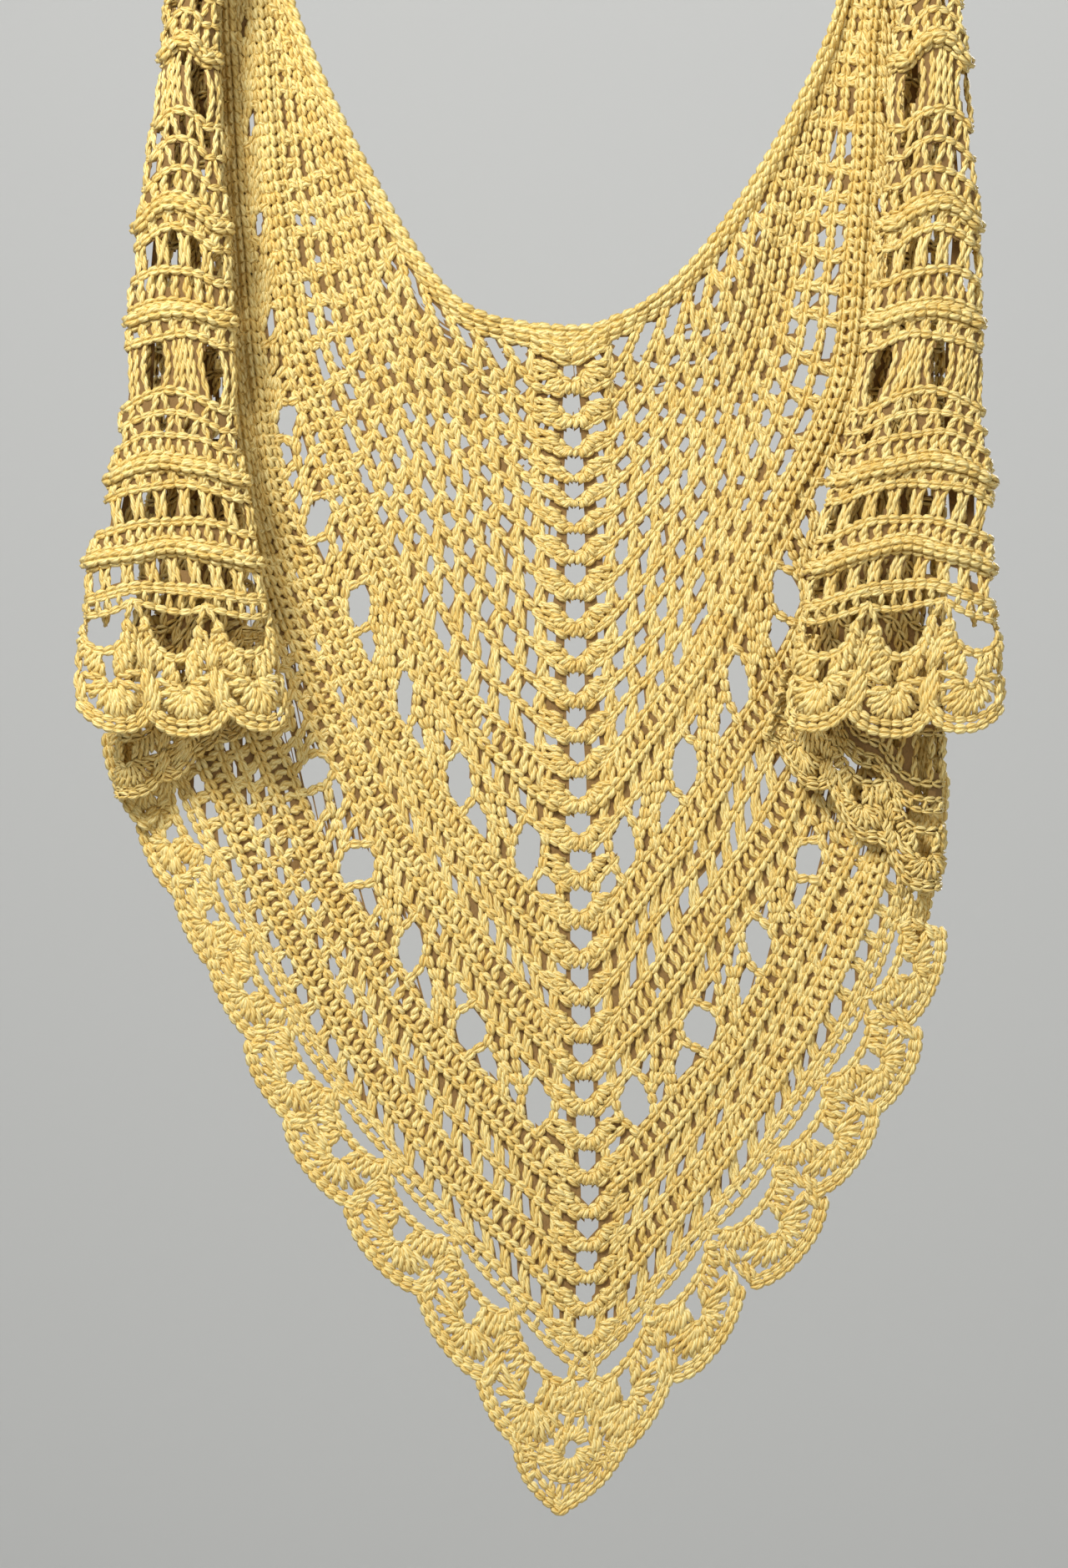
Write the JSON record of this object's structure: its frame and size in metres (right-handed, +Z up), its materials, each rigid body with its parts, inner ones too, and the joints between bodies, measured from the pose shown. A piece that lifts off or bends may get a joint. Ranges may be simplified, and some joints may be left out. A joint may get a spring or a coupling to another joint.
{
  "type": "crocheted triangular shawl",
  "caption": "Golden-yellow crocheted triangular lace shawl with a scalloped fan edging, draped as if hung from two points with each wing folded forward",
  "frame": {"origin": "on the line between the two places that hold the shawl, at the height where the cloth bears on what holds it", "axes": "+X to the right as seen from the front, +Y towards the wall behind, +Z up"},
  "size_m": [0.4023, 0.0401, 0.7473],
  "materials": {
    "yarn": "satin"
  },
  "bodies": {
    "root": {"spine": "yarn", "panel_left": "yarn", "panel_right": "yarn", "edging_left": "yarn", "edging_right": "yarn", "fold_left": "yarn", "fold_right": "yarn", "flap_left": "yarn", "flap_right": "yarn", "flap_edging_left": "yarn", "flap_edging_right": "yarn", "wing_left": "yarn", "wing_right": "yarn", "saddle_left": "yarn", "saddle_right": "yarn"}
  },
  "joints": []
}
